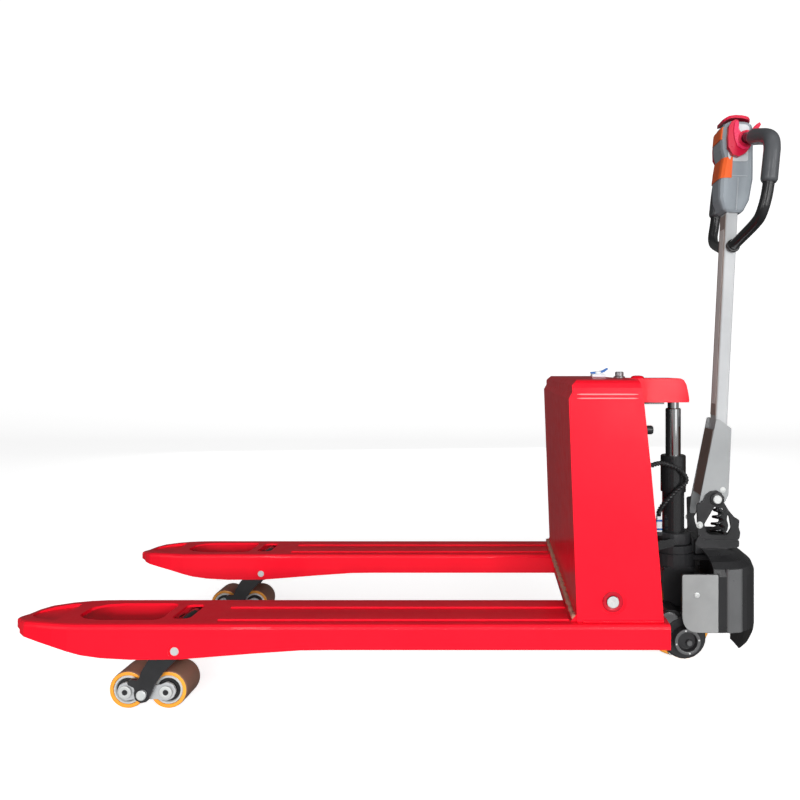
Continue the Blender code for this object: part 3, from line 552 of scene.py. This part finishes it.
bolts = new()
for turn in (10, 100, 190, 280):
    a = math.radians(turn)
    bolt(bolts, (GEAR[0] + 27 * math.cos(a), -151.0, GEAR[2] + 27 * math.sin(a)), "Y", -1,
         2.4, 1.8, 0.6)
for turn in (100, 165, 235, 300):
    a = math.radians(turn)
    bolt(bolts, (GEAR[0] + 50.5 * math.cos(a), -112.0, GEAR[2] + 50.5 * math.sin(a)), "Y", -1,
         4.0, 3.5, 0.8)
make("gear_bolts", bolts, "zinc", "steer")
dish = new()
turned(dish, [(23.4, -151.1), (30.4, -151.1), (30.4, -152.0), (29.4, -152.6), (24.6, -152.6),
              (23.4, -151.8)],
       GEAR, "Y", 64)
make("gear_rim", dish, "rib", "steer")
gusset = new()
for sign in (-1, 1):
    plate(gusset, rounded([(695, 264), (704, 264), (806, 281), (806, 298), (716, 300), (706, 314),
                           (695, 292)], [2, 8, 6, 4, 8, 6, 4]), "Y", *sorted((sign * 45, sign * 50)))
make("bracket_gussets", gusset, "cast", "steer", 1.6)
hub = new()
turned(hub, [(0, -146.1), (6.6, -146.1), (6.6, -147.2), (5.6, -148), (0, -148)], (652, 0, 78), "Y", 32)
make("gear_hub", hub, "rib", "steer")
disc = new()
turned(disc, [(0, -124.1), (22, -124.1), (22.4, -125), (20, -125.8), (14, -125.8), (13, -125.2),
              (0, -125.2)],
       (609.8, 0, 121.6), "Y", 48)
make("gear_disc", disc, "rib", "steer")

fixings = new()
for sign in (-1, 1):
    bolt(fixings, (707, sign * 46.1, 336), "Y", sign, 6.0, 5.0, 1.4)
make("bracket_bolts", fixings, "zinc", "steer")
rivets = new()
for sign in (-1, 1):
    turned(rivets, [(0, sign * 37.2), (7.4, sign * 37.2), (7.4, sign * 38.0), (6.2, sign * 38.7),
                    (0, sign * 38.7)],
           (768.8, 0, 422.6), "Y", 36)
make("wedge_rivets", rivets, "zinc", "tiller")
facing = new()
plate(facing, [(714.1, 409), (714.8, 409), (745.8, 575), (745.1, 575)], "Y", -32.6, 32.6)
make("wedge_facing", facing, "bronze", "tiller")
feet = new()
for sign in (-1, 1):
    plate(feet, rounded([(707.5, 350.5), (718.5, 350.5), (728, 366), (736, 384), (731, 392),
                         (712, 396)], 2, 3),
          "Y", *sorted((sign * 37.2, sign * 38.1)))
make("wedge_feet", feet, "cast", "tiller")
rings = new()
for sign in (-1, 1):
    turned(rings, [(11.5, sign * 49.6), (16.4, sign * 49.6), (16.4, sign * 51), (14.6, sign * 52),
                   (11.5, sign * 52)], PIVOT, "Y", 44)
make("pin_washers", rings, "cast", "steer")

COILS, COIL_STEPS = 4, 128
coil = []
for k in range(COIL_STEPS + 1):
    t = k / COIL_STEPS
    r = 18 - 11 * t
    a = 2 * math.pi * COILS * t
    coil.append(Vector((SPRING_X + r * math.cos(a), r * math.sin(a), 301.6 + 72 * t)))
spring = new()
pipe(spring, coil, 3.6, 14)
make("coil_spring", spring, "dark_steel", "steer", stands_for=["return_spring"])


# ---------------------------------------------------------------- cable

CABLE_ROUTE = [(505.4, -62, 488), (530, -62, 489), (560, -60, 487), (580, -56, 487), (596, -52, 491),
               (611, -48, 492), (629, -43.5, 487), (646, -42, 481), (661, -41.5, 471), (671, -41, 460),
               (675, -40.5, 448), (669, -40.5, 437), (655, -40.5, 426), (640, -40, 412), (627, -37.5, 397),
               (617, -31, 382), (612, -22, 368), (611, -16.5, 359), (611, -16, 352.4)]
wrap = new()
pipe(wrap, curve(CABLE_ROUTE, 16),
     lambda i, a: 3.7 + 2.8 * abs(math.cos(a - i * 0.42)) ** 0.9, 20)
cable = make("wrapped_cable", wrap, "black", None, smooth=80, stands_for=["cable"])
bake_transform(cable)


bands = new()
for low, high in ((317, 322), (339, 343.5)):
    plate(bands, rounded([(603.5, -24.5), (618.5, -24.5), (618.5, -7.5), (603.5, -7.5)], 2, 3),
          "Z", low, high)
make("connector_bands", bands, "blue", "column", 0.4)


# ---------------------------------------------------------------- tiller

LOOP = [(12, -38.5, 1308), (12, -67, 1308), (16, -88, 1303), (23, -120, 1294), (28, -150, 1283),
        (30, -171, 1269), (29.5, -181, 1248), (28, -183, 1225), (26.5, -183, 1195), (25, -183, 1166),
        (22, -182, 1135), (18, -177, 1108), (16, -163, 1089), (14, -140, 1078), (11, -110, 1068),
        (8, -80, 1059), (5, -50, 1050), (3.5, -26, 1045)]
PER_SPAN = 10
for side, sign in SIDES:
    path = curve([(PIVOT.x + x, -sign * y, z) for x, y, z in LOOP], PER_SPAN)
    bar = new()
    pipe(bar, path, 13.4, 28)
    boss = (PIVOT.x + 3.5, 0, 1045)
    turned(bar, [(0, sign * 23.9), (15.5, sign * 23.9), (17, sign * 25.5), (17, sign * 34), (15, sign * 36),
                 (0, sign * 36)], boss, "Y", 40)
    make("loop_bar_%s" % side, bar, "black", "tiller", stands_for=["loop_%s" % side], leaning=True)
    nut = new()
    bolt(nut, (boss[0], sign * 36, boss[2]), "Y", sign, 7, 5, 1.5)
    make("loop_bolt_%s" % side, nut, "steel", "tiller", leaning=True)
    grip = new()
    part = path[2 * PER_SPAN:9 * PER_SPAN + 1]
    last = len(part) - 1

    def swell(i, a):
        ends = min(i, last - i)
        return 19.4 - 3.6 * max(0.0, 1 - ends / 3.0) ** 2 - 0.5 * math.sin(math.pi * i / last)
    pipe(grip, part, swell, 32)
    foam = make("foam_grip_%s" % side, grip, "foam", "tiller", smooth=60, stands_for=["grip_%s" % side],
                leaning=True)
    rim = new()
    hub_at = (PIVOT.x + 12, 0, 1308)
    low, high = sorted((sign * 44.4, sign * 46.4))
    plate(rim, rounded([(PIVOT.x - 27, 1256), (PIVOT.x + 25, 1256), (PIVOT.x + 25, 1350),
                        (PIVOT.x - 27, 1350)], [20, 8, 14, 14], 8), "Y", low, high)
    make("throttle_bezel_%s" % side, rim, "rim", "tiller", 0.8, leaning=True)
    inner = new()
    low, high = sorted((sign * 60.8, sign * 64.6))
    plate(inner, rounded([(hub_at[0] + x, hub_at[2] + z) for x, z in (
        (-27, 44), (-21, 43), (-20, 24), (-12, 12), (2, 8), (15, 4), (16, -12), (8, -25), (-6, -28),
        (-20, -21), (-29, -4), (-33, 18), (-32, 36))], 4, 4), "Y", low, high)
    make("throttle_inner_%s" % side, inner, "bright", "throttle", 1.4, leaning=True)
    crescent = new()
    turned(crescent, [(14.9, sign * 65.4), (20.2, sign * 65.4), (20.2, sign * 66.8), (18.6, sign * 68),
                      (16.4, sign * 68), (14.9, sign * 67)], hub_at, "Y", 48)
    make("throttle_lip_%s" % side, crescent, "crimson", "throttle", leaning=True)

for name, half, depth, look, low, high in (("tiller_strip", 20, 16.0, "strip", 610, 1126),
                                           ("tiller_strip_face", 14, 16.5, "pale", 640, 1090)):
    label = new()
    plate(label, [(PIVOT.x - depth, low), (PIVOT.x - 15.1, low), (PIVOT.x - 15.1, high),
                  (PIVOT.x - depth, high)], "Y", -half, half)
    make(name, label, look, "tiller", leaning=True)
for side, sign in SIDES:
    seams = new()
    crease = [Vector((PIVOT.x + x, sign * (43.9 + 0.3), 1220)) for x in range(-20, 28, 2)]
    pipe(seams, crease, 0.8, 8)
    drop = [Vector((PIVOT.x + 3 + k * 0.05, sign * (43.2 - max(0, k - 10) * 0.27), 1216 - k * 2.2))
            for k in range(38)]
    pipe(seams, drop, 0.7, 8)
    make("head_seams_%s" % side, seams, "rim", "tiller", leaning=True)


# ---------------------------------------------------------------- stage, light, camera

def backdrop():
    s = Shader("pale_floor", (0.90, 0.90, 0.90), 0.9, Emission_Color=(1, 1, 1, 1), Emission_Strength=0.74)
    s.link(s.ramp(s.noise(3.0, 3.0), [(0.0, 0.88), (1.0, 0.90)]), s.bsdf.inputs["Base Color"])
    bm = bmesh.new()
    rows = []
    for x in (-14.0, 14.0):
        row = [bm.verts.new((x, -9.0, -0.001)), bm.verts.new((x, 5.0, -0.001))]
        for k in range(1, 13):
            a = math.radians(7.5 * k)
            row.append(bm.verts.new((x, 5.0 + 2.5 * math.sin(a), -0.001 + 2.5 * (1 - math.cos(a)))))
        row.append(bm.verts.new((x, 7.5, 9.0)))
        rows.append(row)
    for k in range(len(rows[0]) - 1):
        bm.faces.new((rows[0][k], rows[1][k], rows[1][k + 1], rows[0][k + 1]))
    mesh = bpy.data.meshes.new("floor")
    bm.to_mesh(mesh)
    bm.free()
    for face in mesh.polygons:
        face.use_smooth = True
    mesh.materials.append(s.mat)
    floor = bpy.data.objects.new("floor", mesh)
    bpy.context.scene.collection.objects.link(floor)
    floor.visible_glossy = False
    floor.visible_diffuse = False


def area(name, where, target, size, power):
    lamp = bpy.data.lights.new(name, "AREA")
    lamp.shape = "RECTANGLE"
    lamp.size, lamp.size_y = size
    lamp.energy = power
    obj = bpy.data.objects.new(name, lamp)
    obj.location = where
    obj.rotation_euler = (Vector(target) - Vector(where)).to_track_quat("-Z", "Y").to_euler()
    bpy.context.scene.collection.objects.link(obj)
    return obj


def room_light():
    """World light: dim behind and to the left, brighter in front and to the right."""
    world = bpy.data.worlds.new("hall")
    world.use_nodes = True
    tree = world.node_tree
    tree.nodes["Background"].inputs["Strength"].default_value = 1.0
    coord = tree.nodes.new("ShaderNodeTexCoord")
    dot = tree.nodes.new("ShaderNodeVectorMath")
    dot.operation = "DOT_PRODUCT"
    dot.inputs[1].default_value = Vector((0.45, -0.86, 0.24)).normalized()
    ramp = tree.nodes.new("ShaderNodeValToRGB")
    stops = [(0.0, 0.08), (0.42, 0.07), (0.60, 0.12), (0.74, 0.26), (1.0, 0.36)]
    while len(ramp.color_ramp.elements) < len(stops):
        ramp.color_ramp.elements.new(0.5)
    for element, (pos, grey) in zip(ramp.color_ramp.elements, stops):
        element.position = pos
        element.color = (grey, grey, grey, 1.0)
    span = tree.nodes.new("ShaderNodeMapRange")
    span.inputs["From Min"].default_value = -1.0
    tree.links.new(coord.outputs["Generated"], dot.inputs[0])
    tree.links.new(dot.outputs["Value"], span.inputs["Value"])
    tree.links.new(span.outputs["Result"], ramp.inputs["Fac"])
    tree.links.new(ramp.outputs["Color"], tree.nodes["Background"].inputs["Color"])
    bpy.context.scene.world = world


backdrop()
scene = bpy.context.scene
scene.view_settings.view_transform = "Standard"
scene.view_settings.look = "None"
room_light()
for lamp in (area("front_panel", (0.3, -4.6, 1.05), (0, 0, 0.4), (3.4, 0.9), 205),
             area("back_panel", (-0.4, 4.2, 1.0), (0, 0, 0.4), (4.0, 1.6), 20)):
    lamp.visible_glossy = False
    lamp.visible_camera = False
for lamp in (area("left_strip", (-1.5, -3.9, 1.5), (0.4, 0, 0.5), (0.26, 2.8), 26),
             area("left_wall", (-3.6, -2.6, 1.6), (0.5, 0, 0.6), (2.4, 2.6), 18),
             area("right_strip", (3.1, -2.6, 1.4), (0.6, 0, 0.5), (0.22, 2.6), 12),
             area("right_wall", (2.2, -4.2, 1.4), (0.5, 0, 0.5), (2.4, 2.6), 20),
             area("front_strip", (1.85, -4.8, 1.3), (0.65, 0, 0.6), (0.3, 2.6), 20),
             area("roof_strip", (0.0, -1.6, 4.6), (0.0, 0, 0.3), (6.0, 0.18), 8)):
    lamp.visible_camera = False

lens = bpy.data.cameras.new("camera")
lens.sensor_width = 36.0
lens.lens = 30.08
lens.shift_x = -0.113
lens.shift_y = -0.0403
lens.clip_start = 0.05
lens.clip_end = 60.0
camera = bpy.data.objects.new("camera", lens)
camera.location = (0.1785, -1.7347, 0.733)
camera.rotation_euler = (math.radians(90), 0, 0)
scene.collection.objects.link(camera)
scene.camera = camera
